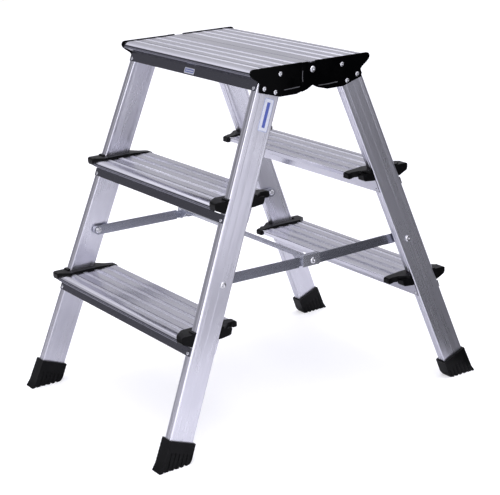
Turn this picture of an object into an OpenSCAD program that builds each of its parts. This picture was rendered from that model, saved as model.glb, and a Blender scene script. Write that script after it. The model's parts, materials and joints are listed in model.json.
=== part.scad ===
// Folding step ladder, double-sided, three treads a side. Units are millimetres.
// Origin: bottom centre, on the floor midway between the feet. +Z is up.
// X runs across the treads, Y runs from the front ladder (-Y) to the rear ladder (+Y).

/* [Ladders] */
// Height of the standing platform above the floor
stand_height = 700; // [694:1:706]
// Rise from one tread to the next
rise = 231; // [228:1:234]
// Lean of each ladder from the vertical, degrees
lean = 21.5; // [21.3:0.1:21.7]
// Distance from the centre to the user side of the stiles at the floor
foot_reach = 383; // [381:1:386]
// Half width over the stiles at the floor
foot_half_width = 261.2; // [258:0.2:266]
// In-plane splay of each stile, degrees
splay = 3.09; // [3:0.01:3.2]

/* [Stiles] */
// Stile thickness across the ladder
stile_t = 18; // [17:0.5:20]
// Stile depth, square to the ladder plane
stile_w = 53; // [52:0.5:54]
// Wall of the stile and of the sheet parts
wall = 1.8; // [1.7:0.1:2]

/* [Treads] */
// Overhang of the nose in front of the stiles
nose = 28.5; // [27:0.5:30]
// Reach of the tread plate behind the stile front
tail = 99; // [96:0.5:99]
// Thickness of the tread plate
plate = 3; // [2.5:0.1:3.5]
// Width of the plastic end cap beside the stile
cap_w = 17; // [15:0.5:20]
// Height of the end cap above the tread
cap_up = 4; // [3:0.5:5]
// Reach of the end cap behind the stile front
cap_tail = 104; // [100:0.5:104]

/* [Hinge] */
// Depth of the hinge axis below the platform
hinge_drop = 13.4; // [13:0.1:15]
// Inner face of the hinge plates from the centre
hinge_x = 224.1; // [224.1:0.1:225]
// Thickness of the hinge plates
hinge_t = 2.5; // [2:0.1:2.6]

/* [Spreader] */
// Distance from the centre to each stile pivot
arm_y = 222.9; // [221:0.1:225]
// Height of the stile pivots
arm_z = 319.3; // [318:0.1:321]
// Drop of the middle pivot below the stile pivots
arm_sag = 3.5; // [3:0.1:6]
// Bar height
bar_h = 20; // [18:0.5:20]
// Bar thickness
bar_t = 3; // [2.5:0.1:3]
// Inner face of the bars from the centre
bar_x = 215.7; // [215.5:0.1:216]
// Outward crank at the rear end of the rear bars
crank = 1.5; // [1:0.1:1.6]

/* [Output] */
// Which node to build

/* [Hidden] */
$fn = 48;
e = 0.02;
run = 0.05;
tl = tan(lean);
cl = cos(lean);
sl = sin(lean);
low = stand_height - 2 * rise;
mid = stand_height - rise;
top = stand_height;
hinge_z = top - hinge_drop;
arm_l = sqrt(arm_y * arm_y + arm_sag * arm_sag);
arm_a = asin(arm_sag / arm_l);
shank = 4;
deep = stile_w / cl;

function yo(z) = foot_reach - z * tl;
function xo(z) = foot_half_width - z * tan(splay) / cl;
function xi(z) = xo(z) - stile_t / cos(splay);
function plate_half(z) = xi(z) - cap_w;
// V grooves along an edge: positions, half width, depth
function vee(c, s, d) = [[c - s, 0], [c, d], [c + s, 0]];

// ---------- frames ----------
module ladder() translate([0, -foot_reach, 0]) rotate([-lean, 0, 0]) children();
module stile_frame() ladder() translate([foot_half_width, 0, 0]) rotate([0, -splay, 0]) children();
module at_tread(z) translate([0, -yo(z), z]) children();
module yz(x0, x1) translate([x0, 0, 0]) rotate([90, 0, 90]) linear_extrude(x1 - x0) children();
module both_sides() { children(); mirror([1, 0, 0]) children(); }
module other_side() mirror([1, 0, 0]) children();
module rear() mirror([0, 1, 0]) children();
module along_x(x, y, z) translate([x, y, z]) rotate([0, 90, 0]) children();
module bar_front_frame() translate([0, -arm_y, arm_z]) rotate([-arm_a, 0, 0]) children();
module bar_rear_frame() translate([0, 0, arm_z - arm_sag]) rotate([arm_a, 0, 0]) children();

module stile_block(v0, v1) stile_frame()
    translate([-stile_t, 0, v0]) cube([stile_t, stile_w, v1 - v0]);

// A rivet along -Z with a domed head above Z = 0
module rivet(rh, hh, rs, len) rotate_extrude() polygon([[0, -len], [rs, -len], [rs, 0],
    [rh, 0], [rh, 0.25 * hh], [0.86 * rh, 0.62 * hh], [0.55 * rh, 0.9 * hh], [0, hh]]);

// The same with a dimpled head
module dimpled(rh, hh, rs, len) rotate_extrude() polygon([[0, -len], [rs, -len], [rs, 0],
    [rh, 0], [rh, 0.3 * hh], [0.88 * rh, 0.68 * hh], [0.6 * rh, 0.95 * hh], [0.42 * rh, hh],
    [0.3 * rh, 0.9 * hh], [0.16 * rh, 0.55 * hh], [0, 0.5 * hh]]);

// ---------- positions of the fixings ----------
module tread_rivet_sites(z, ho, hi) stile_frame() {
    translate([-stile_t / 2, -wall, (z + ho) / cl]) rotate([90, 0, 0]) children();
    translate([-stile_t / 2, stile_w + wall, (z + hi + stile_w * sl) / cl]) rotate([-90, 0, 0])
        children();
}
module all_tread_rivet_sites() {
    tread_rivet_sites(low, -31, -38.5) children();
    tread_rivet_sites(mid, -31, -38.5) children();
    tread_rivet_sites(top, -33.5, -38.5) children();
}
module hinge_rivet_sites() for (p = [[71.2, 686.3], [107.7, 663.4], [83.4, 654.1]])
    along_x(hinge_x + hinge_t, -p[0], p[1] - 700 + top) children();

// ---------- stiles ----------
function corner(cx, cy, a0, r) = [for (a = [0, 22.5, 45, 67.5, 90]) [cx + r * cos(a0 + a), cy + r * sin(a0 + a)]];
module stile_outline() polygon(concat(
    corner(-stile_t + 2.2, 2.2, 180, 2.2),
    [for (c = [-12.6, -5.6]) for (p = vee(c, 1.2, 1)) p],
    // broad rounded edge on the outer front corner
    [for (a = [270 : 15 : 360]) [-2.4 + 2.4 * cos(a), 6.1 + 6.1 * sin(a)]],
    [for (c = [7, 10.5, 26.5, 42.5, 46]) for (p = vee(c, 0.8, 0.22)) [-p[1], p[0]]],
    corner(-2.2, stile_w - 2.2, 0, 2.2),
    [for (c = [-5.6, -12.6]) for (p = vee(c, -1.2, 1)) [p[0], stile_w - p[1]]],
    corner(-stile_t + 2.2, stile_w - 2.2, 90, 2.2),
    [for (c = [46, 7]) for (p = vee(c, -0.8, 0.45)) [-stile_t + p[1], p[0]]]
));
module stile_body() difference() {
    stile_frame() difference() {
        translate([0, 0, 30]) linear_extrude(750) stile_outline();
        translate([-stile_t + wall, wall, 25]) cube([stile_t - 2 * wall, stile_w - 2 * wall, 760]);
    }
    translate([-400, -500, top - plate]) cube([800, 1000, 200]);
    all_tread_rivet_sites() translate([0, 0, -8]) cylinder(h = 12, r = 2 + e);
    hinge_rivet_sites() translate([0, 0, -13]) cylinder(h = 20, r = 2.4 + e);
    along_x(200, -arm_y, arm_z) cylinder(h = 80, r = shank + e);
    along_x(xo(arm_z) - 0.6, -arm_y, arm_z) cylinder(h = 20, r = 6.5 + e);
}

// ---------- feet ----------
module foot_section() polygon([
    [-391, 0], [-384.5, 0], [-382, 3], [-379.5, 0], [-373, 0], [-370.5, 3], [-368, 0],
    [-361.5, 0], [-359, 3], [-356.5, 0], [-350, 0], [-347.5, 3], [-345, 0], [-338.5, 0],
    [-336, 3], [-333.5, 0], [-326, 0], [-319.5, 8], [-308.7, 36.2], [-362.8, 57.5],
    [-382.2, 12.5]
]);
module foot_body() difference() {
    intersection() {
        yz(200, 300) translate([383 - foot_reach, 0]) foot_section();
        stile_frame() translate([-stile_t - 5, -15, -40]) cube([stile_t + 10, 90, 120]);
    }
    stile_block(30, 200);
    // flutes down both sides
    stile_frame() for (w = [4 : 9 : 49]) for (x = [-stile_t - 5.8, 3.7])
        translate([x, w, -20]) cube([2.1, 4.6, 60]);
}

// ---------- treads ----------
// Section in [distance behind the stile front, height above the tread]
function front_x(h) = tl * h;
function back_x(h) = tl * h + deep;
sk = wall / cl;
module tread_section(reach, down, back_down) polygon([
    [-14, 0], [-20, -0.8], [-24.6, -2.6], [-27.6, -4.9], [-nose, -7], [-nose, -8], [-nose + 1.3, -8.4],
    [-nose + 1.3, -9.4], [-nose + 0.2, -9.8], [-nose + 0.6, -11.5],
    [front_x(-22) - sk, -22], [front_x(-down) - sk, -down], [front_x(-down), -down],
    [front_x(-20.4), -20.4], [-24.4, -10.9], [-25.2, -7.6], [-22.4, -4.8], [-14, -plate],
    [back_x(-plate), -plate], [back_x(-back_down), -back_down],
    [back_x(-back_down) + sk, -back_down], [back_x(-plate) + sk, -plate],
    [reach - 4, -plate], [reach - 2.6, -4.4], [reach - 2.6, -8.6], [reach - 1.2, -9.4], [reach, -8],
    [reach, -1.6], [reach - 0.5, -0.5], [reach - 1.6, 0]
]);
module skirt(x, h0, h1, back) yz(-x, x) polygon(back
    ? [[back_x(h0), h0], [back_x(h1), h1], [back_x(h1) + sk, h1], [back_x(h0) + sk, h0]]
    : [[front_x(h0) - sk, h0], [front_x(h1) - sk, h1], [front_x(h1), h1], [front_x(h0), h0]]);
module top_grooves(x, list) for (u = list) translate([-x - 1, u - 5, -1.2]) cube([2 * x + 2, 10, 5]);
// Plan of the tread plate: the nose runs on in front of the stiles, the plate stops at the caps
module tread_plan(z) translate([0, 0, -60]) linear_extrude(80) polygon([
    [-xi(z) - 0.5, -45], [xi(z) + 0.5, -45], [xi(z) + 0.5, -31], [plate_half(z), -9],
    [plate_half(z), 150], [-plate_half(z), 150], [-plate_half(z), -9], [-xi(z) - 0.5, -31]
]);
module tread_body(z) difference() {
    at_tread(z) difference() {
        union() {
            intersection() {
                yz(-xi(z) - 1, xi(z) + 1) tread_section(tail, 36, 45);
                tread_plan(z);
            }
            skirt(xo(z - 29) - 1.5, -22, -36, false);
            skirt(xo(z - 10) - 1.5, -20, -45, true);
        }
        top_grooves(xi(z), [-nose + 27, -nose + 53, -nose + 79, -nose + 105]);
    }
    both_sides() tread_rivet_sites(z, -31, -38.5) translate([0, 0, -8]) cylinder(h = 12, r = 2 + e);
}
module platform_body() difference() {
    at_tread(top) difference() {
        union() {
            intersection() {
                yz(-hinge_x + 0.2, hinge_x - 0.2) tread_section(yo(top) - 0.8, 39, 45);
                union() {
                    translate([-214, -80, -60]) cube([428, 250, 80]);
                    translate([-230, -80, -plate]) cube([460, 250, 20]);
                    translate([-230, -80, -39]) cube([460, 80 + front_x(-21), 60]);
                }
            }
            skirt(xo(top - 29) - 1.5, -22, -39, false);
            skirt(xo(top - 10) - 1.5, -plate, -45, true);
        }
        top_grooves(hinge_x, [yo(top) - 109.5, yo(top) - 83.5, yo(top) - 57.5, yo(top) - 31.5]);
        both_sides() translate([xo(top - 29) - 1.5, -60, -60]) cube([20, 60, 38]);
    }
    both_sides() tread_rivet_sites(top, -33.5, -38.5)
        translate([0, 0, -8]) cylinder(h = 12, r = 2 + e);
}

// ---------- end caps ----------
module cap_plan(z) translate([0, 0, -60]) linear_extrude(80) polygon([
    [plate_half(z), 150], [plate_half(z), -9], [xi(z) + 0.5, -31], [xi(z) + 0.5, -45], [xo(z) - 0.3, -45],
    [xo(z) - 0.3, 1], [xi(z) + 9, 1], [xi(z) + 9, 50], [xo(z) - 1.7, 50], [xo(z) - 1.7, deep + 7],
    [xi(z) + 2, deep + 24], [xi(z) - 1.5, deep + 38], [xi(z) - 1.5, 150]
]);
module cap_body(z) difference() {
    at_tread(z) {
        intersection() {
            yz(plate_half(z) - 1, xo(z) + 1) {
                // slab from nose to tail
                polygon([
                    [-28, -10.5], [-30, -6], [-30, 1], [-29, 2.8], [-26.5, cap_up], [60, cap_up],
                    [cap_tail - 9, cap_up - 2.6], [cap_tail - 2, cap_up - 4], [cap_tail, cap_up - 6.2],
                    [cap_tail, -9.8], [cap_tail - 1.6, -11.4], [cap_tail - 8, -11.4], [cap_tail - 13, -9.4],
                    [60, -9.4], [50, -6], [10, -6], [-1, -6], [front_x(-19), -19], [front_x(-19) - sk, -19]
                ]);
            }
            cap_plan(z);
        }
        // block behind the stile
        yz(xi(z) - 1.5, xo(z) - 1.7) polygon([
            [40, -2.5], [deep + 23.5, -2.5], [deep + 24.5, -4.5], [deep + 22, -14.5], [deep + 19.5, -16.6],
            [deep, -18.8], [40, -18.8]
        ]);
        // raised lip in front of the stile
        yz(xi(z) + 1, xo(z) - 0.3) polygon([
            [-4.6, cap_up - 1], [-3.6, cap_up + 2.2], [3, cap_up + 2.2], [3, cap_up - 1]
        ]);
    }
    stile_block((z - 80) / cl, (z + 80) / cl);
}

// ---------- platform hinge ----------
hz = top - 700;
module hinge_outline(y0) translate([0, hz]) polygon([
    [-131.5, 701.5], [y0, 701.5], [y0, 648.2 + 0.265 * (y0 + 22)], [-36, 644.5], [-73.5, 644.5],
    [-95.5, 651], [-118.3, 657.5], [-116.5, 672], [-120, 676.5], [-131, 684], [-136.5, 689],
    [-138.3, 693], [-138, 696.5], [-135.8, 700]
]);
module hinge_tab(y0) translate([0, hz]) polygon([
    [y0, 701.5], [-10, 701.5], [-8.6, 699], [4, 698.6], [10.4, 696], [13.8, 689], [14, 686.6], [12.6, 680.5],
    [8, 669], [0, 657.5], [-13, 650.6], [y0, 648.2 + 0.265 * (y0 + 22)]
]);
module hinge_holes(r) {
    hinge_rivet_sites() translate([0, 0, -20]) cylinder(h = 40, r = 2.4 + e);
    along_x(200, 0, hinge_z) cylinder(h = 60, r = r);
}
module hinge_front_body() difference() {
    union() {
        yz(hinge_x, hinge_x + hinge_t) hinge_outline(-22);
        yz(hinge_x, hinge_x + 2 * hinge_t + 0.3) intersection() {
            hinge_outline(-22);
            translate([-24.5, 600]) square([2.5, 200]);
        }
        yz(hinge_x + hinge_t + 0.3, hinge_x + 2 * hinge_t + 0.3) hinge_tab(-22);
    }
    hinge_holes(shank + e);
}
module hinge_rear_body() difference() {
    yz(hinge_x, hinge_x + hinge_t) union() {
        hinge_outline(-22);
        hinge_tab(-22.5);
    }
    hinge_holes(shank + run);
}
module hinge_pin() {
    along_x(hinge_x + 2 * hinge_t + 0.3, 0, hinge_z) dimpled(5.8, 2.4, shank, 2 * hinge_t + 0.5);
    along_x(219.6, 0, hinge_z) cylinder(h = hinge_x - 0.2 - 219.6, r = 6);
}
module hinge_rivets() hinge_rivet_sites() rivet(4.2, 1.7, 2.4, 12);
module tread_rivets() all_tread_rivet_sites() rivet(3.6, 1.6, 2, 5.5);

// ---------- spreader ----------
module pivot_rivet(x0) {
    len = xo(arm_z) - 0.6 - x0;
    along_x(xo(arm_z) - 0.6, -arm_y, arm_z) dimpled(6.5, 3, shank, len);
}
module pivot_head(x, y, z) along_x(x, y, z) mirror([0, 0, 1]) rivet(6.5, 2.2, 1, 0);
module spacer(x0) difference() {
    along_x(x0, -arm_y, arm_z) cylinder(h = 12, r = 8);
    along_x(x0 - 5, -arm_y, arm_z) cylinder(h = 40, r = shank + e);
    stile_block(200, 500);
}
module bar_front_body() bar_front_frame() difference() {
    union() {
        along_x(bar_x, 0, 0) cylinder(h = bar_t, r = bar_h / 2);
        translate([bar_x, 0, -bar_h / 2]) cube([bar_t, arm_l - 31, bar_h]);
        // tongue across the gap to the bracket
        translate([bar_x + bar_t / 2 - 0.6, arm_l - 33, -bar_h / 2 + 2]) cube([1.2, 8.5, bar_h - 4]);
    }
    along_x(bar_x - 5, 0, 0) cylinder(h = 12, r = shank + run);
}
lug = arm_l - 24.5;
module cross_body() bar_front_frame() difference() {
    union() {
        translate([-222.5, lug, 11.5]) cube([445, 10.5, 2]);
        translate([0, lug + 2, 0]) rotate([90, 0, 0]) linear_extrude(2) polygon([
            [-bar_x - 2, -8.5], [-208, -8.5], [-188, 7.5], [188, 7.5], [208, -8.5], [bar_x + 2, -8.5],
            [bar_x + 2, 12], [-bar_x - 2, 12]
        ]);
        both_sides() {
            translate([213, lug, 11.5]) cube([9.5, 41.5, 2]);
            yz(220, 222.5) polygon([[lug, 13.5], [lug, -10], [arm_l + 14, -10], [arm_l + 17, -7], [arm_l + 17, 13.5]]);
        }
    }
    both_sides() along_x(210, arm_l, 0) cylinder(h = 20, r = shank + e);
}
module mid_rivet() {
    bar_front_frame() along_x(222.5, arm_l, 0) dimpled(6.5, 2.4, shank, 222.5 - bar_x + 0.2);
    bar_front_frame() pivot_head(bar_x - 0.2, arm_l, 0);
}
module bar_rear_body() bar_rear_frame() difference() {
    union() {
        along_x(bar_x, 0, 0) cylinder(h = bar_t, r = bar_h / 2);
        translate([0, 0, -bar_h / 2]) linear_extrude(bar_h) polygon([
            [bar_x, 0], [bar_x, arm_l - 42], [bar_x + crank, arm_l - 36], [bar_x + crank, arm_l],
            [bar_x + crank + bar_t, arm_l], [bar_x + crank + bar_t, arm_l - 37],
            [bar_x + bar_t, arm_l - 43], [bar_x + bar_t, 0]
        ]);
        along_x(bar_x + crank, arm_l, 0) cylinder(h = bar_t, r = bar_h / 2);
    }
    along_x(bar_x - 5, 0, 0) cylinder(h = 12, r = shank + run);
    along_x(bar_x - 5, arm_l, 0) cylinder(h = 16, r = shank + e);
}
module bar_rivet() bar_rear_frame() along_x(bar_x + crank, arm_l, 0) {
    mirror([0, 0, 1]) rivet(6.5, 2.2, shank, bar_t);
}

// ---------- nodes ----------
module stile_front_right() color("Silver") stile_body();
module stile_front_left() color("Silver") other_side() stile_body();
module stile_rear_right() color("Silver") rear() stile_body();
module stile_rear_left() color("Silver") rear() other_side() stile_body();
module foot_front_right() color("#1b1b1c") foot_body();
module foot_front_left() color("#1b1b1c") other_side() foot_body();
module foot_rear_right() color("#1b1b1c") rear() foot_body();
module foot_rear_left() color("#1b1b1c") rear() other_side() foot_body();
module tread_front_low() color("LightSteelBlue") tread_body(low);
module tread_front_mid() color("LightSteelBlue") tread_body(mid);
module platform_front() color("LightSteelBlue") platform_body();
module tread_rear_low() color("LightSteelBlue") rear() tread_body(low);
module tread_rear_mid() color("LightSteelBlue") rear() tread_body(mid);
module platform_rear() color("LightSteelBlue") rear() platform_body();
module cap_front_low_right() color("#222224") cap_body(low);
module cap_front_low_left() color("#222224") other_side() cap_body(low);
module cap_front_mid_right() color("#222224") cap_body(mid);
module cap_front_mid_left() color("#222224") other_side() cap_body(mid);
module cap_rear_low_right() color("#222224") rear() cap_body(low);
module cap_rear_low_left() color("#222224") rear() other_side() cap_body(low);
module cap_rear_mid_right() color("#222224") rear() cap_body(mid);
module cap_rear_mid_left() color("#222224") rear() other_side() cap_body(mid);
module hinge_plate_front_right() color("#151517") hinge_front_body();
module hinge_plate_front_left() color("#151517") other_side() hinge_front_body();
module hinge_plate_rear_right() color("#151517") rear() hinge_rear_body();
module hinge_plate_rear_left() color("#151517") rear() other_side() hinge_rear_body();
module hinge_pins() color("Gainsboro") both_sides() hinge_pin();
module hinge_rivets_front() color("Gainsboro") both_sides() hinge_rivets();
module hinge_rivets_rear() color("Gainsboro") rear() both_sides() hinge_rivets();
module tread_rivets_front() color("Gainsboro") both_sides() tread_rivets();
module tread_rivets_rear() color("Gainsboro") rear() both_sides() tread_rivets();
module pivot_rivets_front() color("Gainsboro") both_sides() {
    pivot_rivet(bar_x - 0.2);
    pivot_head(bar_x - 0.2, -arm_y, arm_z);
}
module pivot_rivets_rear() color("Gainsboro") rear() both_sides()
    pivot_rivet(bar_x + crank + bar_t + 0.5);
module spacers_front() color("Gray") both_sides() spacer(bar_x + bar_t + 0.1);
module spacers_rear() color("Gray") rear() both_sides() spacer(bar_x + crank + bar_t + 0.5);
module bar_front_right() color("SlateGray") bar_front_body();
module bar_front_left() color("SlateGray") other_side() bar_front_body();
module cross_member() color("SlateGray") cross_body();
module mid_rivets() color("Gainsboro") both_sides() mid_rivet();
module bar_rear_right() color("SlateGray") bar_rear_body();
module bar_rear_left() color("SlateGray") other_side() bar_rear_body();
module bar_rivets_rear() color("Gainsboro") both_sides() bar_rivet();

stile_front_right();
stile_front_left();
stile_rear_right();
stile_rear_left();
foot_front_right();
foot_front_left();
foot_rear_right();
foot_rear_left();
tread_front_low();
tread_front_mid();
platform_front();
tread_rear_low();
tread_rear_mid();
platform_rear();
cap_front_low_right();
cap_front_low_left();
cap_front_mid_right();
cap_front_mid_left();
cap_rear_low_right();
cap_rear_low_left();
cap_rear_mid_right();
cap_rear_mid_left();
hinge_plate_front_right();
hinge_plate_front_left();
hinge_plate_rear_right();
hinge_plate_rear_left();
hinge_pins();
hinge_rivets_front();
hinge_rivets_rear();
tread_rivets_front();
tread_rivets_rear();
pivot_rivets_front();
pivot_rivets_rear();
spacers_front();
spacers_rear();
bar_front_right();
bar_front_left();
cross_member();
mid_rivets();
bar_rear_right();
bar_rear_left();
bar_rivets_rear();
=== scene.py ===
import bmesh
import bpy
import json
from math import cos, radians, sin
from mathutils import Euler, Matrix, Vector

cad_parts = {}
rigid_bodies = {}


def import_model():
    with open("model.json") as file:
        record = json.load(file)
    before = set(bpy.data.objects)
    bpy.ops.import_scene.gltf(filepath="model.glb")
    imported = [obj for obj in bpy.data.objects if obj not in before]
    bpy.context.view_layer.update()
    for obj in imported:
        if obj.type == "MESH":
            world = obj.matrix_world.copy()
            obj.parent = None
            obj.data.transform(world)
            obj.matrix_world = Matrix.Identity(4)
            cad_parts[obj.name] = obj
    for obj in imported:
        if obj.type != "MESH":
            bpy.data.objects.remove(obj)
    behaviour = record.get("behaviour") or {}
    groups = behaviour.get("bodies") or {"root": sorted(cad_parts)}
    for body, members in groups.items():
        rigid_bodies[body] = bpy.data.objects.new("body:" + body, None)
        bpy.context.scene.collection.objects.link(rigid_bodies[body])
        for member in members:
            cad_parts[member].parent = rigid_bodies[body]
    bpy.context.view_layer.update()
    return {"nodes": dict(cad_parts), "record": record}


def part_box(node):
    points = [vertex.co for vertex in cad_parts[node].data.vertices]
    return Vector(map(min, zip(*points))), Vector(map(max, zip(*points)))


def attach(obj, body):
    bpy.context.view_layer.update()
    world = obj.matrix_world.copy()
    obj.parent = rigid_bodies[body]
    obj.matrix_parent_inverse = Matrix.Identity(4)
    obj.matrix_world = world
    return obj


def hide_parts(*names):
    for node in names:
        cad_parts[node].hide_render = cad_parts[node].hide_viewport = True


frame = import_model()
scene = bpy.context.scene
scene.view_settings.view_transform = "Standard"

MM = 0.001
NODES = frame["nodes"]
SLOTS = {row["node"]: row["material_slot"] for row in frame["record"]["subparts"]}
BODY = {name: made.parent.name.split(":")[-1] for name, made in NODES.items()}
SIDES = ("right", "left")
ENDS = ("front", "rear")

# ---------- settings ----------
WELD = 0.004 * MM          # points closer than this are one
FLAT_ANGLE = 0.6           # degrees between faces that count as one flat face
BEVEL_ANGLE = 26           # degrees from which an edge is rounded
BEVEL_SEGMENTS = 2
SHARP_ANGLE = 40           # degrees from which an edge is shaded as sharp
STILE_SHARP_ANGLE = 25     # the same for the shallow grooves of the stiles
TOP_FACING = 0.6           # least Z of the normal of a face that counts as a top
SHADED_FRONT_DEPTH = 46 * MM     # how far back from the nose a tread's front face may lie, for the painted shade on it
BUMP_DEPTH = 0.0002        # metres, of the fine relief in every material
GROOVE_DEPTHS = (1.0 * MM, 1.4 * MM)
GROOVE_REACH = 11 * MM     # points nearer than this along Y are in one groove
SHANK_END = 0.1 * MM       # depth at a rivet's inner end in which its shank is measured
RIVET_DIMPLE = 0.35        # depth of the dimple as a share of the head's height
RIBS = {"count": 7, "pitch": 1.32 * MM, "width": 0.42 * MM, "height": 0.7 * MM}
RIB_END_GAP = 0.4 * MM
BEAD = {"radius": 0.9 * MM, "bend": 5 * MM}
FILM_GAP = 0.03 * MM       # between a label and the metal under it
FILM, INK = 0.10 * MM, 0.04 * MM
MIX_A, MIX_B, MIX_RESULT = 6, 7, 2   # the colour sockets of a Mix node
SENSOR_WIDTH, FRAME_WIDTH = 36, 500
FLOOR_REACH = 6
FLOOR_GLOW = 0.46          # of the floor, for the camera only
HORIZON, ZENITH = 0.72, 1.35
DARK_SIDES = [   # direction, brightness kept there, where the darkening starts and is full
    (Vector((-0.78, -0.60, 0.15)), 0.34, 0.68, 0.94),
    (Vector((-0.78, 0.54, 0.30)), 0.75, 0.80, 0.98),
]
LYING_REFLECTION_CARDS = [   # name, x from and to, y from and to, brightness; sheets seen only in reflections, painted shade where dark and painted light where bright
    ("side floor card", 0.86, 1.35, 0.0, 0.85, 0.12),
    ("back floor card", 0.18, 0.95, 0.50, 1.25, 0.15),
    ("far floor card", 1.9, 5.8, 1.0, 4.8, 1.15),
]
LIGHTS = [   # name, place, aim, size, power
    ("overhead", (0.2, -0.2, 2.6), (0, 0, 0.3), (1.8, 1.8), 26),
    ("side window", (2.2, -1.8, 1.5), (0, 0, 0.35), (0.8, 1.4), 12),
]


# ---------- shader graphs ----------
class Graph:
    """Adds nodes to one tree. A value is a number, a colour, a vector or another node's output."""

    def __init__(self, tree):
        self.tree = tree

    def put(self, socket, value):
        if isinstance(value, bpy.types.NodeSocket):
            self.tree.links.new(value, socket)
        elif value is not None:
            socket.default_value = value

    def node(self, kind, *values, out=0, named=None, **settings):
        made = self.tree.nodes.new(kind)
        for name, value in settings.items():
            setattr(made, name, value)
        for number, value in enumerate(values):
            self.put(made.inputs[number], value)
        for name, value in (named or {}).items():
            self.put(made.inputs[name], value)
        return made if out is None else made.outputs[out]

    def math(self, operation, *values):
        return self.node("ShaderNodeMath", *values, operation=operation)

    def vector(self, operation, *values, out=0, named=None):
        return self.node("ShaderNodeVectorMath", *values, out=out, named=named, operation=operation)

    def span(self, value, low, high, to_low=0.0, to_high=1.0):
        return self.node("ShaderNodeMapRange", value, low, high, to_low, to_high,
                         interpolation_type="SMOOTHSTEP")

    def blend(self, factor, a, b):
        made = self.node("ShaderNodeMix", out=None, data_type="RGBA")
        self.put(made.inputs[0], factor)
        self.put(made.inputs[MIX_A], a)
        self.put(made.inputs[MIX_B], b)
        return made.outputs[MIX_RESULT]

    def place(self):
        return self.node("ShaderNodeTexCoord", out="Object")

    def turned(self, frame_euler):
        return self.node("ShaderNodeMapping", self.place(), (0, 0, 0), frame_euler)

    def group(self, tree, out, **values):
        made = self.tree.nodes.new("ShaderNodeGroup")
        made.node_tree = tree
        for name, value in values.items():
            self.put(made.inputs[name.replace("_", " ").title()], value)
        return made.outputs[out]


def group_tree(name, inputs, outputs):
    """A new shader group, its graph, its input sockets by name and its output node."""
    tree = bpy.data.node_groups.new(name, "ShaderNodeTree")
    for label, kind, value in inputs:
        socket = tree.interface.new_socket(name=label, in_out="INPUT", socket_type=kind)
        if value is not None:
            socket.default_value = value
    for label, kind in outputs:
        tree.interface.new_socket(name=label, in_out="OUTPUT", socket_type=kind)
    start = tree.nodes.new("NodeGroupInput")
    return tree, Graph(tree), start.outputs, tree.nodes.new("NodeGroupOutput")


FLOAT, VEC = "NodeSocketFloat", "NodeSocketVector"


def drawn_lines():
    """Die lines and handling marks of drawn metal. Z of the vector runs along the profile."""
    tree, g, given, end = group_tree(
        "drawn lines",
        [("Vector", VEC, None), ("Pitch", FLOAT, 900.0), ("Stretch", FLOAT, 0.01), ("Marks", FLOAT, 22.0)],
        [("Lines", FLOAT), ("Marks", FLOAT), ("Scratches", FLOAT)])
    flat = g.node("ShaderNodeCombineXYZ", 1.0, 1.0, given["Stretch"])
    lined = g.vector("MULTIPLY", given["Vector"], flat)
    lines = g.node("ShaderNodeTexNoise", named={"Vector": lined, "Scale": given["Pitch"], "Detail": 3.0,
                                                "Roughness": 0.65})
    long_marks = g.vector("MULTIPLY", given["Vector"], (1.0, 1.0, 0.28))
    marks = g.node("ShaderNodeTexNoise", named={"Vector": long_marks, "Scale": given["Marks"], "Detail": 5.0,
                                                "Roughness": 0.6, "Distortion": 0.5})
    fine = g.vector("MULTIPLY", given["Vector"], (1.0, 1.0, 0.06))
    cuts = g.node("ShaderNodeTexNoise", named={"Vector": fine, "Scale": 420.0, "Detail": 2.0,
                                               "Roughness": 0.5})
    g.put(end.inputs["Lines"], lines)
    g.put(end.inputs["Marks"], g.span(marks, 0.33, 0.68))
    g.put(end.inputs["Scratches"], g.span(cuts, 0.66, 0.78))
    return tree


def moulded_skin():
    """Fine spark-eroded skin of a moulding, with soft scuffs."""
    tree, g, given, end = group_tree(
        "moulded skin",
        [("Vector", VEC, None), ("Grain", FLOAT, 1400.0), ("Scuffs", FLOAT, 60.0)],
        [("Grain", FLOAT), ("Scuffs", FLOAT)])
    cells = g.node("ShaderNodeTexVoronoi", named={"Vector": given["Vector"], "Scale": given["Grain"]})
    grit = g.node("ShaderNodeTexNoise", named={
        "Vector": given["Vector"], "Scale": given["Grain"], "Detail": 2.0})
    scuffs = g.node("ShaderNodeTexNoise", named={
        "Vector": given["Vector"], "Scale": given["Scuffs"], "Detail": 6.0, "Roughness": 0.7})
    g.put(end.inputs["Grain"], g.math("ADD", g.math("MULTIPLY", cells, 0.6), g.math("MULTIPLY", grit, 0.4)))
    g.put(end.inputs["Scuffs"], g.span(scuffs, 0.42, 0.72))
    return tree


def worn_and_highlighted_edges():
    """Where the bevelled edges are rubbed, and where their lighter colour stands in for a painted highlight:
    the edge attribute broken up by noise.
    """
    tree, g, given, end = group_tree(
        "worn edges", [("Vector", VEC, None), ("Amount", FLOAT, 0.6)], [("Wear", FLOAT)])
    edge = g.node("ShaderNodeAttribute", out="Fac", attribute_name="edge")
    noise = g.node("ShaderNodeTexNoise", named={"Vector": given["Vector"], "Scale": 240.0, "Detail": 4.0})
    broken = g.math("MULTIPLY", edge, g.span(noise, 0.35, 0.62))
    g.put(end.inputs["Wear"], g.math("MULTIPLY", broken, given["Amount"]))
    return tree


DRAWN, SKIN, EDGE_WEAR_AND_HIGHLIGHT = drawn_lines(), moulded_skin(), worn_and_highlighted_edges()


def new_material(name, **fixed):
    material = bpy.data.materials.new(name)
    material.use_nodes = True
    shader = material.node_tree.nodes["Principled BSDF"]
    for label, value in fixed.items():
        shader.inputs[label.replace("_", " ").title().replace("Ior", "IOR")].default_value = value
    return material, Graph(material.node_tree), shader


def bumped(g, shader, height, strength):
    relief = {"Strength": strength, "Distance": BUMP_DEPTH, "Height": height}
    g.put(shader.inputs["Normal"], g.node("ShaderNodeBump", named=relief, out="Normal"))


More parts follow.
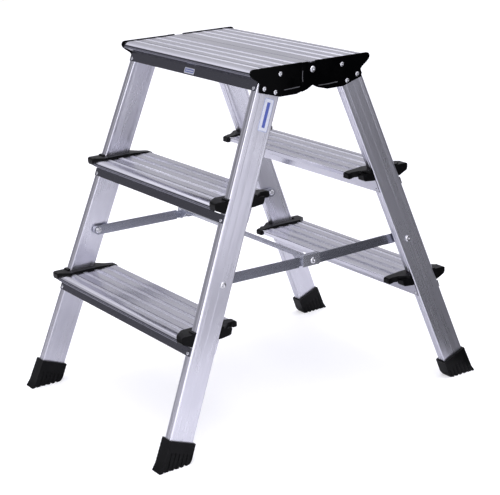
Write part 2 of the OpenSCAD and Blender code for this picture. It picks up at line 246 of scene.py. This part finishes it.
def drawn_metal(name, turn, colour, shade, roughness, pitch=900.0, stretch=0.01, marks=22.0, bump=0.008,
                wear=0.3, fascia=None):
    """Drawn aluminium: turn lays the pattern's Z along the profile."""
    material, g, shader = new_material(name, Metallic=1.0)
    place = g.turned(turn)
    given = {"vector": place, "pitch": pitch, "stretch": stretch, "marks": marks}
    lines = g.group(DRAWN, "Lines", **given)
    spots = g.group(DRAWN, "Marks", **given)
    cuts = g.group(DRAWN, "Scratches", **given)
    edge_wear_and_highlight = g.group(EDGE_WEAR_AND_HIGHLIGHT, "Wear", vector=place, amount=wear)
    base = g.blend(spots, (*shade, 1), (*colour, 1))
    base = g.blend(g.math("MULTIPLY", g.span(lines, 0.35, 0.7), 0.08), base, (*[c * 0.8 for c in shade], 1))
    base = g.blend(g.math("MULTIPLY", cuts, 0.12), base, (0.9, 0.9, 0.92, 1))
    base = g.blend(edge_wear_and_highlight, base, (0.92, 0.92, 0.94, 1))
    # painted shade: a tread's front faces get a darker colour, standing in for the shade they lie in
    if fascia:
        front = g.node("ShaderNodeAttribute", out="Fac", attribute_name="fascia")
        base = g.blend(front, base, (*fascia, 1))
    g.put(shader.inputs["Base Color"], base)
    rough = g.span(lines, 0.3, 0.7, roughness - 0.01, roughness + 0.02)
    rough = g.math("ADD", rough, g.math("MULTIPLY", spots, -0.03))
    g.put(shader.inputs["Roughness"], rough)
    bumped(g, shader, g.math("ADD", lines, g.math("MULTIPLY", cuts, 0.5)), bump)
    return material


def moulded(name, colour, scuffed, edge_wear_and_highlight_colour, roughness, specular, grain=1400.0, bump=0.15, scuffs=60.0):
    """Moulded rubber or plastic, or paint with a fine skin."""
    material, g, shader = new_material(name, Specular_ior_level=specular)
    place = g.place()
    given = {"vector": place, "grain": grain, "scuffs": scuffs}
    grains = g.group(SKIN, "Grain", **given)
    rubbed = g.group(SKIN, "Scuffs", **given)
    edge_wear_and_highlight = g.group(EDGE_WEAR_AND_HIGHLIGHT, "Wear", vector=place, amount=0.5)
    base = g.blend(rubbed, (*colour, 1), (*scuffed, 1))
    # the edge colour is partly wear and partly a painted highlight along the edges
    g.put(shader.inputs["Base Color"], g.blend(edge_wear_and_highlight, base, (*edge_wear_and_highlight_colour, 1)))
    rough = g.span(rubbed, 0.0, 1.0, roughness, min(1.0, roughness + 0.12))
    g.put(shader.inputs["Roughness"], rough)
    bumped(g, shader, grains, bump)
    return material


# ---------- meshes ----------
def add_object(name, mesh):
    made = bpy.data.objects.new(name, mesh)
    scene.collection.objects.link(made)
    return made


def plain_mesh(made):
    """Apply the object's modifiers, so that it holds one plain mesh."""
    bpy.context.view_layer.update()
    evaluated = made.evaluated_get(bpy.context.evaluated_depsgraph_get())
    mesh = bpy.data.meshes.new_from_object(evaluated)
    made.modifiers.clear()
    made.data = mesh
    mesh.name = made.name
    return made


def merged(node):
    """A bmesh copy of a CAD node, with its loose triangles joined and its flat faces whole."""
    work = bmesh.new()
    work.from_mesh(NODES[node].data)
    bmesh.ops.remove_doubles(work, verts=work.verts, dist=WELD)
    bmesh.ops.dissolve_limit(work, angle_limit=radians(FLAT_ANGLE), verts=work.verts, edges=work.edges)
    return work


def finished(node, width, material, sharp_angle=SHARP_ANGLE):
    """A copy of a CAD node with its edges rounded by up to the given width in millimetres.

    The bevel is clamped where edges lie close together. On the treads, the platform halves and
    most end caps that leaves almost no width.
    """
    work = merged(node)
    mark = work.faces.layers.float.new("edge")
    front = work.faces.layers.float.new("fascia")
    if width > 0:
        sharp = [e for e in work.edges
                 if len(e.link_faces) == 2 and e.calc_face_angle(0) > radians(BEVEL_ANGLE)]
        for face in work.faces:
            face[mark] = -1.0
        bmesh.ops.bevel(work, geom=sharp, offset=width * MM, offset_type="OFFSET", segments=BEVEL_SEGMENTS,
                        profile=0.5, affect="EDGES", clamp_overlap=True)
        for face in work.faces:
            face[mark] = 0.0 if face[mark] < 0 and face.calc_area() > (4 * width * MM) ** 2 else 1.0
    # this layer marks a tread's front faces, which the tread material darkens as painted shade
    reach = max(abs(v.co.y) for v in work.verts)
    for face in work.faces:
        outside = abs(face.calc_center_median().y) > reach - SHADED_FRONT_DEPTH
        face[front] = 1.0 if outside and face.normal.z < TOP_FACING else 0.0
    bmesh.ops.triangulate(work, faces=[f for f in work.faces if len(f.verts) > 4])
    for face in work.faces:
        face.smooth = True
    mesh = bpy.data.meshes.new(node + "_finished")
    work.to_mesh(mesh)
    work.free()
    mesh.set_sharp_from_angle(angle=radians(sharp_angle))
    mesh.materials.append(material)
    made = add_object(node + "_finished", mesh)
    made.modifiers.new("normals", "WEIGHTED_NORMAL").keep_sharp = True
    plain_mesh(made)
    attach(made, BODY[node])
    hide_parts(node)


# ---------- geometry nodes ----------
class Builder(Graph):
    """A Geometry Nodes tree with named inputs, run on one object and made plain."""

    def __init__(self, name, inputs):
        super().__init__(bpy.data.node_groups.new(name, "GeometryNodeTree"))
        face = self.tree.interface
        face.new_socket(name="Geometry", in_out="INPUT", socket_type="NodeSocketGeometry")
        self.keys = {}
        for label, kind, value in inputs:
            socket = face.new_socket(name=label, in_out="INPUT", socket_type=kind)
            if value is not None:
                socket.default_value = value
            self.keys[label] = socket.identifier
        face.new_socket(name="Geometry", in_out="OUTPUT", socket_type="NodeSocketGeometry")
        self.given = self.tree.nodes.new("NodeGroupInput").outputs
        self.end = self.tree.nodes.new("NodeGroupOutput")

    def close(self, geometry):
        whole = self.node("GeometryNodeRealizeInstances", geometry)
        set_material = self.node("GeometryNodeSetMaterial", out=None)
        self.put(set_material.inputs["Geometry"], whole)
        self.put(set_material.inputs["Material"], self.given["Material"])
        self.put(self.end.inputs["Geometry"], set_material.outputs[0])
        return self

    def run(self, name, mesh, body, slot, **values):
        made = add_object(name, mesh)
        modifier = made.modifiers.new("build", "NODES")
        modifier.node_group = self.tree
        for label, value in values.items():
            modifier[self.keys[label.replace("_", " ").title()]] = value
        plain_mesh(made)
        made.data.polygons.foreach_set("use_smooth", [True] * len(made.data.polygons))
        made.data.set_sharp_from_angle(angle=radians(SHARP_ANGLE))
        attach(made, body)
        return made


def rib_rows():
    """Fine grip ribs: a row of bars along X on every point of the mesh."""
    b = Builder("grip ribs", [
        ("Length", FLOAT, 0.4), ("Count", "NodeSocketInt", 7), ("Pitch", FLOAT, 0.0013),
        ("Width", FLOAT, 0.0005), ("Height", FLOAT, 0.0006), ("Material", "NodeSocketMaterial", None)])
    bar = b.node("GeometryNodeMeshCylinder", 8, 1, 1, 1.0, b.given["Length"])
    bar = b.node("GeometryNodeTransform", named={
        "Geometry": bar, "Rotation": Euler((0, radians(90), 0)),
        "Scale": b.node("ShaderNodeCombineXYZ", b.given["Height"], b.given["Width"], 1.0)})
    step = b.node("ShaderNodeCombineXYZ", 0.0, b.given["Pitch"], 0.0)
    half = b.math("MULTIPLY", b.math("SUBTRACT", b.given["Count"], 1), -0.5)
    first = b.node("ShaderNodeCombineXYZ", 0.0, b.math("MULTIPLY", half, b.given["Pitch"]), 0.0)
    row = b.node("GeometryNodeMeshLine", named={
        "Count": b.given["Count"], "Start Location": first, "Offset": step})
    rows = b.node("GeometryNodeInstanceOnPoints", named={"Points": row, "Instance": bar})
    every = b.node("GeometryNodeInstanceOnPoints", named={"Points": b.given["Geometry"], "Instance": rows})
    return b.close(every)


def rivet_row():
    """Domed rivets with a dimple, one on every point, turned to the point's axis attribute."""
    b = Builder("rivets", [
        ("Radius", FLOAT, 0.005), ("Height", FLOAT, 0.0018), ("Shank", FLOAT, 0.0024),
        ("Length", FLOAT, 0.012), ("Dimple", FLOAT, 0.3), ("Material", "NodeSocketMaterial", None)])
    head = b.node("GeometryNodeMeshCylinder", 28, 1, 9, 1.0, 0.4)
    place = b.node("GeometryNodeInputPosition")
    reach = b.vector("LENGTH", b.vector("MULTIPLY", place, (1.0, 1.0, 0.0)), out="Value")
    upper = b.math("GREATER_THAN", b.node("ShaderNodeSeparateXYZ", place, out=2), 0.0)
    dome = b.math("SQRT", b.math("SUBTRACT", 1.02, b.math("MULTIPLY", b.math("POWER", reach, 2.4), 0.93)))
    hollow = b.span(reach, 0.38, 0.22, 0.0, b.given["Dimple"])
    tall = b.math("MULTIPLY", b.math("SUBTRACT", dome, hollow), b.given["Height"])
    lift = b.math("MULTIPLY", upper, tall)
    across = b.node("ShaderNodeCombineXYZ", b.given["Radius"], b.given["Radius"], 0.0)
    wide = b.vector("MULTIPLY", place, across)
    shaped = b.vector("ADD", wide, b.node("ShaderNodeCombineXYZ", 0.0, 0.0, lift))
    head = b.node("GeometryNodeSetPosition", named={"Geometry": head, "Position": shaped})
    pin = b.node("GeometryNodeMeshCylinder", 20, 1, 1, b.given["Shank"], b.given["Length"])
    down = b.math("MULTIPLY", b.given["Length"], -0.5)
    pin = b.node("GeometryNodeTransform", named={
        "Geometry": pin, "Translation": b.node("ShaderNodeCombineXYZ", 0.0, 0.0, down)})
    join = b.tree.nodes.new("GeometryNodeJoinGeometry")
    for part in (head, pin):
        b.tree.links.new(part, join.inputs[0])
    axis = b.node("GeometryNodeInputNamedAttribute", data_type="FLOAT_VECTOR", named={"Name": "axis"})
    turn = b.node("FunctionNodeAlignRotationToVector", named={"Vector": axis}, axis="Z")
    spots = b.node("GeometryNodeInstanceOnPoints", named={
        "Points": b.given["Geometry"], "Instance": join.outputs[0], "Rotation": turn})
    return b.close(spots)


def raised_bead():
    """A half-round pressed bead along the mesh's edges."""
    b = Builder("pressed bead", [
        ("Radius", FLOAT, 0.0012), ("Bend", FLOAT, 0.006), ("Material", "NodeSocketMaterial", None)])
    line = b.node("GeometryNodeMeshToCurve", b.given["Geometry"])
    soft = b.node("GeometryNodeFilletCurve", mode="POLY", named={
        "Curve": line, "Radius": b.given["Bend"], "Count": 8, "Limit Radius": True})
    ring = b.node("GeometryNodeCurvePrimitiveCircle", named={"Resolution": 12, "Radius": b.given["Radius"]})
    return b.close(b.node("GeometryNodeCurveToMesh", named={
        "Curve": soft, "Profile Curve": ring, "Fill Caps": True}))


# ---------- what the frame tells ----------
def islands(node):
    """The separate solids of a CAD node, as lists of points."""
    work = merged(node)
    left = set(work.verts)
    found = []
    while left:
        grown = [left.pop()]
        group = []
        while grown:
            vert = grown.pop()
            group.append(vert.co.copy())
            for edge in vert.link_edges:
                other = edge.other_vert(vert)
                if other in left:
                    left.remove(other)
                    grown.append(other)
        found.append(group)
    work.free()
    return found


def rivet_sites(node, axis_of):
    """(seat, axis, head radius, head height, shank radius, length) of each rivet in a node."""
    sites = []
    for points in islands(node):
        middle = sum(points, Vector()) / len(points)
        axis = axis_of(middle)
        along = [(p - middle).dot(axis) for p in points]
        away = [((p - middle) - axis * (p - middle).dot(axis)) for p in points]
        offset = sum(away, Vector()) / len(away)
        reach = [(a - offset).length for a in away]
        radius = max(reach)
        seat = min(t for t, r in zip(along, reach) if r > 0.98 * radius)
        shank = max(r for t, r in zip(along, reach) if t < min(along) + SHANK_END)
        place = middle + offset + axis * seat
        sites.append((place, axis, radius, max(along) - seat, shank, seat - min(along)))
    return sites


def point_mesh(name, points, axes=None):
    """A mesh of loose points, each with its axis where axes are given."""
    mesh = bpy.data.meshes.new(name)
    mesh.from_pydata(points, [], [])
    if axes:
        stored = mesh.attributes.new("axis", "FLOAT_VECTOR", "POINT")
        stored.data.foreach_set("vector", [c for a in axes for c in a])
    return mesh


def long_axis(node):
    """The direction in which a stile rises."""
    points = [v.co for v in NODES[node].data.vertices]
    low, high = min(p.z for p in points), max(p.z for p in points)
    foot = [p for p in points if p.z < low + 25 * MM]
    head = [p for p in points if p.z > high - 1 * MM]
    return (sum(head, Vector()) / len(head) - sum(foot, Vector()) / len(foot)).normalized()


def turn_to(axis, side=Vector((1, 0, 0))):
    """The rotation that brings object coordinates into a frame whose Z is the axis."""
    across = (side - axis * side.dot(axis)).normalized()
    return Matrix((across, axis.cross(across), axis)).to_euler()


def groove_floors(node):
    """Centre and length of each shallow groove in the top of a tread."""
    mesh = NODES[node].data
    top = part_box(node)[1].z
    bands = {}
    for face in mesh.polygons:
        depth = top - face.center.z
        if face.normal.z > 0.99 and GROOVE_DEPTHS[0] < depth < GROOVE_DEPTHS[1]:
            for index in face.vertices:
                spot = mesh.vertices[index].co
                for key in bands:
                    if abs(key - spot.y) < GROOVE_REACH:
                        bands[key].append(spot)
                        break
                else:
                    bands[spot.y] = [spot]
    rows = []
    for spots in bands.values():
        x0, x1 = min(s.x for s in spots), max(s.x for s in spots)
        y0, y1 = min(s.y for s in spots), max(s.y for s in spots)
        rows.append((Vector(((x0 + x1) / 2, (y0 + y1) / 2, spots[0].z)), x1 - x0))
    return rows


# ---------- what the pieces need ----------
def material_of(node):
    return stile_metal.get(node) or (bar_steel if node.startswith("bar_") else MATERIALS[SLOTS[node]])


def outward(spot):
    return Vector((1 if spot.x > 0 else -1, 0, 0))


def inward(spot):
    return -outward(spot)


def square_to_ladder(spot):
    """Rivets through the front or the back of a stile: away from the ladder's own plane."""
    end = "front" if spot.y < 0 else "rear"
    rise = long_axis(f"stile_{end}_right")
    rise = Vector((0, rise.y, rise.z)).normalized()
    normal = Vector((1, 0, 0)).cross(rise)
    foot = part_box(f"stile_{end}_right")
    middle = Vector((0, (foot[0].y + foot[1].y) / 2, (foot[0].z + foot[1].z) / 2))
    return normal if (spot - middle).dot(normal) > 0 else -normal


def bead_mesh(name, lines):
    """A mesh of open chains of edges."""
    points = [Vector(p) for line in lines for p in line]
    edges, start = [], 0
    for line in lines:
        edges += [(start + i, start + i + 1) for i in range(len(line) - 1)]
        start += len(line)
    mesh = bpy.data.meshes.new(name)
    mesh.from_pydata(points, edges, [])
    return mesh


def below_top(millimetres):
    """A height below the platform."""
    return TOP - millimetres * MM


def rounded_outline(width, height, radius, steps=5):
    """The points of a rounded rectangle about the origin."""
    points = []
    for cx, cy, start in ((1, 1, 0), (-1, 1, 90), (-1, -1, 180), (1, -1, 270)):
        for step in range(steps + 1):
            angle = radians(start + 90 * step / steps)
            points.append((cx * (width / 2 - radius) + radius * cos(angle),
                           cy * (height / 2 - radius) + radius * sin(angle)))
    return points


def label(name, centre, across, up, width, height, layers):
    """A blank film label: each layer is a thin rounded plate (inset, thickness, material)."""
    normal = across.cross(up)
    work = bmesh.new()
    base = 0.0
    for number, (inset, thick, _) in enumerate(layers):
        outline = rounded_outline(width - 2 * inset, height - 2 * inset, max(0.3 * MM, 2 * MM - inset))
        low = [work.verts.new(centre + across * x + up * y + normal * base) for x, y in outline]
        high = [work.verts.new(v.co + normal * thick) for v in low]
        count = len(outline)
        faces = [work.faces.new(high), work.faces.new(list(reversed(low)))]
        faces += [work.faces.new((low[i], low[(i + 1) % count], high[(i + 1) % count], high[i]))
                  for i in range(count)]
        for face in faces:
            face.material_index = number
        base += thick
    mesh = bpy.data.meshes.new(name)
    work.to_mesh(mesh)
    work.free()
    for _, _, material in layers:
        mesh.materials.append(material)
    made = add_object(name, mesh)
    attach(made, "front_ladder")


def film(name, colour, faded):
    """Printed vinyl film, slightly faded in patches."""
    material, g, shader = new_material(name, Roughness=0.35)
    patches = g.node("ShaderNodeTexNoise", named={"Vector": g.place(), "Scale": 90.0, "Detail": 3.0})
    g.put(shader.inputs["Base Color"], g.blend(g.span(patches, 0.4, 0.7), (*colour, 1), (*faded, 1)))
    return material


# ---------- camera, floor and light ----------
def add_camera():
    azimuth, elevation, roll = radians(55.191), radians(17.518), radians(-1.695)
    distance, target, focal = 2.8663, Vector((0.01125, 0, 0.2904)), 1404.43
    back = Vector((sin(azimuth) * cos(elevation), -cos(azimuth) * cos(elevation), sin(elevation)))
    right = Vector((cos(azimuth), sin(azimuth), 0))
    up = back.cross(right)
    right, up = right * cos(roll) + up * sin(roll), up * cos(roll) - right * sin(roll)
    camera = add_object("camera", bpy.data.cameras.new("camera"))
    camera.data.sensor_width = SENSOR_WIDTH
    camera.data.lens = SENSOR_WIDTH * focal / FRAME_WIDTH
    turn = Matrix((right, up, back)).transposed()
    camera.matrix_world = Matrix.Translation(target + distance * back) @ turn.to_4x4()
    scene.camera = camera


def staged_sheet(name, corners, material):
    mesh = bpy.data.meshes.new(name)
    mesh.from_pydata(corners, [], [(0, 1, 2, 3)])
    mesh.materials.append(material)
    made = add_object(name, mesh)
    return made


def add_floor():
    material, g, shader = new_material("pale floor", Roughness=0.7, Specular_ior_level=0.2)
    speck = g.node("ShaderNodeTexNoise", named={"Vector": g.place(), "Scale": 3.0, "Detail": 2.0})
    g.put(shader.inputs["Base Color"], g.blend(speck, (0.67, 0.67, 0.70, 1), (0.71, 0.71, 0.74, 1)))
    shader.inputs["Emission Color"].default_value = (1, 1, 1, 1)
    seen = g.node("ShaderNodeLightPath", out="Is Camera Ray")
    g.put(shader.inputs["Emission Strength"], g.math("MULTIPLY", seen, FLOOR_GLOW))
    r = FLOOR_REACH
    staged_sheet("floor", [(-r, -r, 0), (r, -r, 0), (r, r, 0), (-r, r, 0)], material)


def add_reflection_card(name, brightness, corners):
    """A glowing grey card, seen only in reflections: a painted reflection, standing in for shade where dark
    and for light where bright.
    """
    material, g, shader = new_material(name, Roughness=1.0, Specular_ior_level=0.0, Emission_strength=1.0)
    shader.inputs["Base Color"].default_value = (0, 0, 0, 1)
    shade = g.node("ShaderNodeTexNoise", named={"Vector": g.place(), "Scale": 4.0, "Detail": 2.0})
    low, high = 0.9 * brightness, 1.1 * brightness
    tone = g.blend(shade, (low, low, low * 1.08, 1), (high, high, high * 1.08, 1))
    g.put(shader.inputs["Emission Color"], tone)
    card = staged_sheet(name, corners, material)
    card.visible_camera = card.visible_diffuse = card.visible_shadow = card.visible_transmission = False


def add_reflection_cards():
    near, far, y, low, high = 0.265, 0.86, 0.402, 0.001, 0.72
    # painted shade: a dark card behind the ladder, seen only in the metal's reflections
    add_reflection_card("rear card", 0.10, [(near, y, low), (far, y, low), (far, y, high), (near, y, high)])
    for name, x0, x1, y0, y1, brightness in LYING_REFLECTION_CARDS:
        add_reflection_card(name, brightness, [(x0, y0, 0.002), (x1, y0, 0.002), (x1, y1, 0.002), (x0, y1, 0.002)])
    # painted light: a bright card, seen only in the metal's reflections
    x, y0, y1, low, high = 1.5, -1.1, -0.12, 0.0, 0.58
    add_reflection_card("bright card", 1.7, [(x, y0, low), (x, y0, high), (x, y1, high), (x, y1, low)])


def add_world():
    """A white room that darkens towards two sides, plain white where the camera sees it."""
    world = bpy.data.worlds.new("studio")
    scene.world = world
    world.use_nodes = True
    g = Graph(world.node_tree)
    g.tree.nodes.clear()
    way = g.node("ShaderNodeTexCoord", out="Generated")
    rise = g.node("ShaderNodeSeparateXYZ", way, out=2)
    light = g.span(rise, 0.25, 0.85, HORIZON, ZENITH)
    for direction, kept, start, full in DARK_SIDES:
        near = g.vector("DOT_PRODUCT", way, tuple(direction.normalized()), out="Value")
        light = g.math("MULTIPLY", light, g.span(near, start, full, 1.0, kept))
    tint = g.vector("SCALE", (0.975, 0.97, 1.04), named={"Scale": light})
    room = g.node("ShaderNodeBackground", tint)
    white = g.node("ShaderNodeBackground", (1, 1, 1, 1))
    seen = g.node("ShaderNodeLightPath", out="Is Camera Ray")
    shown = g.node("ShaderNodeMixShader", seen, room, white)
    g.node("ShaderNodeOutputWorld", shown, out=None)


def add_light(name, place, aim, size, power):
    light = bpy.data.lights.new(name, "AREA")
    light.shape = "RECTANGLE"
    light.size, light.size_y = size
    light.energy = power
    made = add_object(name, light)
    made.location = place
    made.rotation_euler = (Vector(place) - Vector(aim)).to_track_quat("Z", "Y").to_euler()


add_camera()
add_floor()
add_reflection_cards()
add_world()
for light in LIGHTS:
    add_light(*light)

# ---------- materials ----------
ALU, ALU_DIM = (0.80, 0.795, 0.87), (0.73, 0.725, 0.80)
stile_metal = {}
for end in ENDS:
    for side in SIDES:
        name = f"stile_{end}_{side}"
        stile_metal[name] = drawn_metal(name + " aluminium", turn_to(long_axis(name)), ALU, ALU_DIM, 0.30)
across = turn_to(Vector((1, 0, 0)), Vector((0, 0, 1)))
# the last colour is painted shade on the tread's front faces
tread_metal = drawn_metal("tread aluminium", across, (0.72, 0.715, 0.785), (0.62, 0.615, 0.685), 0.20,
                          pitch=420.0, stretch=0.004, marks=14.0, fascia=(0.20, 0.20, 0.235))
rib_metal = drawn_metal("rib aluminium", across, (0.86, 0.86, 0.92), (0.80, 0.80, 0.86), 0.38,
                        pitch=420.0, stretch=0.004, marks=14.0)
straight = turn_to(Vector((0, 1, 0)), Vector((0, 0, 1)))
zinc = drawn_metal("zinc plated steel", straight, (0.62, 0.63, 0.68), (0.52, 0.53, 0.58), 0.26,
                   pitch=600.0, stretch=0.2, marks=60.0, bump=0.03)
# a darker, bluer steel on the spreader bars
bar_steel = drawn_metal("blued bar steel", straight, (0.36, 0.37, 0.43), (0.29, 0.30, 0.35), 0.26,
                        pitch=500.0, stretch=0.02, marks=40.0, bump=0.03)
rivet_metal = drawn_metal("rivet aluminium", straight, (0.74, 0.74, 0.78), (0.55, 0.55, 0.58), 0.24,
                          pitch=900.0, stretch=1.0, marks=300.0, bump=0.02)
MATERIALS = {
    "tread": tread_metal,
    "zinc": zinc,
    "rivet": rivet_metal,
    # the rubbed-edge colours of the rubber and the black gloss are painted highlights along their edges as
    # well as wear
    "rubber": moulded("black rubber", (0.0012, 0.0012, 0.0015), (0.0026, 0.0026, 0.003), (0.03, 0.03, 0.034),
                      0.34, 0.14, grain=900.0),
    "plastic": moulded("black plastic", (0.0015, 0.0015, 0.0018), (0.003, 0.003, 0.0034),
                       (0.014, 0.014, 0.016), 0.32, 0.11),
    "hinge": moulded("black gloss", (0.0006, 0.0006, 0.0008), (0.001, 0.001, 0.0012), (0.06, 0.06, 0.064),
                     0.10, 0.03, grain=500.0, bump=0.02, scuffs=30.0),
    # painted highlight: the beads get a much lighter copy of the black gloss
    "bead": moulded("bead gloss", (0.05, 0.05, 0.055), (0.09, 0.09, 0.1), (0.1, 0.1, 0.1),
                    0.12, 0.5, grain=500.0, bump=0.02, scuffs=120.0),
}


# ---------- pieces made from the CAD nodes ----------
ROUNDED = {   # start of the node's name: largest width of its rounded edges, in millimetres
    "stile": 0, "foot": 0.7, "tread": 0.25, "platform": 0.25, "cap": 0.8, "hinge_plate": 0.6,
    "bar": 0.5, "cross_member": 0.4, "spacers": 0.5,
}
BY_NODES = [n for n in NODES if "rivets" in n and not n.startswith(("pivot", "mid"))]
for node in NODES:
    if node in BY_NODES:
        continue
    width = next((w for start, w in ROUNDED.items() if node.startswith(start)), 0)
    if node.startswith("stile"):
        finished(node, width, material_of(node), sharp_angle=STILE_SHARP_ANGLE)
    else:
        finished(node, width, material_of(node))

# ---------- rivets ----------
rivets = rivet_row()


for node in BY_NODES:
    axis_of = square_to_ladder if node.startswith("tread") else outward
    if node.startswith("bar_rivets"):
        axis_of = inward
    sites = rivet_sites(node, axis_of)
    _, _, radius, height, shank, length = sites[0]
    mesh = point_mesh(node + "_sites", [s[0] for s in sites], [s[1] for s in sites])
    made = rivets.run(node + "_heads", mesh, BODY[node], SLOTS[node], radius=radius, height=height,
                      shank=shank, length=length, dimple=RIVET_DIMPLE, material=rivet_metal)
    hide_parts(node)

# ---------- grip ribs ----------
ribs = rib_rows()
for node in [n for n in NODES if n.startswith(("tread_front", "tread_rear", "platform"))
             and "rivets" not in n]:
    rows = groove_floors(node)
    length = min(r[1] for r in rows) - RIB_END_GAP
    mesh = point_mesh(node + "_grooves", [r[0] for r in rows])
    ribs.run(node + "_ribs", mesh, BODY[node], "tread", length=length, material=rib_metal, **RIBS)

# ---------- pressed beads on the hinge plates, and one along each front plate's jog, in a painted highlight colour ---
beads = raised_bead()
PLATE_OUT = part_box("hinge_plate_rear_right")[1].x
TAB_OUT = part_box("hinge_plate_front_right")[1].x
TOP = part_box("platform_front")[1].z


for side, sign in (("right", 1), ("left", -1)):
    lower = [(-64, 44.2), (-46, 43.6), (-28, 42.8)]
    # painted highlight: a bead along the jog in the front plate, in the lighter bead colour
    step = [(-22.6, 13.5), (-23.4, 20), (-23.6, 28), (-22.9, 34)]
    plate, tab = sign * (PLATE_OUT + 0.1 * MM), sign * (TAB_OUT - 0.3 * MM)
    rear = [(15, 46), (36, 46.4), (60, 45.2)]
    front = [[(plate, y * MM, below_top(z)) for y, z in lower],
             [(tab, y * MM, below_top(z)) for y, z in step]]
    back = [[(plate, y * MM, below_top(z)) for y, z in rear]]
    for end, lines in (("front", front), ("rear", back)):
        mesh = bead_mesh(f"bead_{end}_{side}", lines)
        beads.run(f"hinge_bead_{end}_{side}", mesh, BODY[f"hinge_plate_{end}_{side}"], "hinge",
                  material=MATERIALS["bead"], **BEAD)

# ---------- blank labels ----------
white_film = film("white film", (0.62, 0.64, 0.72), (0.56, 0.58, 0.66))
blue_film = film("blue film", (0.06, 0.09, 0.36), (0.08, 0.12, 0.42))
pale_film = film("pale blue film", (0.30, 0.36, 0.62), (0.34, 0.40, 0.64))
rise_right = long_axis("stile_front_right")
stile_in = Vector((0, 1, 0)) - rise_right * rise_right.y
stile_in = (stile_in - Vector((1, 0, 0)) * stile_in.x).normalized()
stile_out = stile_in.cross(rise_right).normalized()
stile_in = rise_right.cross(stile_out).normalized()

stile_points = [v.co for v in NODES["stile_front_right"].data.vertices]
outer_face = max(p.dot(stile_out) for p in stile_points)
front_edge = min(p.dot(stile_in) for p in stile_points)
label_height, label_in = TOP - 85 * MM, 33.5 * MM
spot = stile_out * (outer_face + FILM_GAP) + stile_in * (front_edge + label_in)
spot += rise_right * ((label_height - spot.z) / rise_right.z)
label("stile_label", spot, stile_in, rise_right, 21 * MM, 61 * MM, [
    (0, FILM, pale_film), (0.9 * MM, INK, white_film), (7.0 * MM, INK, blue_film)])

lean_slope = rise_right.y / rise_right.z
below = 31.5 * MM
nose_reach, sheet = 28.5 * MM, 1.95 * MM
stile_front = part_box("platform_front")[0].y + nose_reach
skirt_up = Vector((0, lean_slope, 1)).normalized()
spot = Vector((0, stile_front - lean_slope * below - sheet - FILM_GAP, TOP - below))
label("skirt_label", spot, Vector((1, 0, 0)), skirt_up, 34 * MM, 11 * MM, [
    (0, FILM, white_film), (2.4 * MM, INK, blue_film), (4.2 * MM, INK, white_film)])
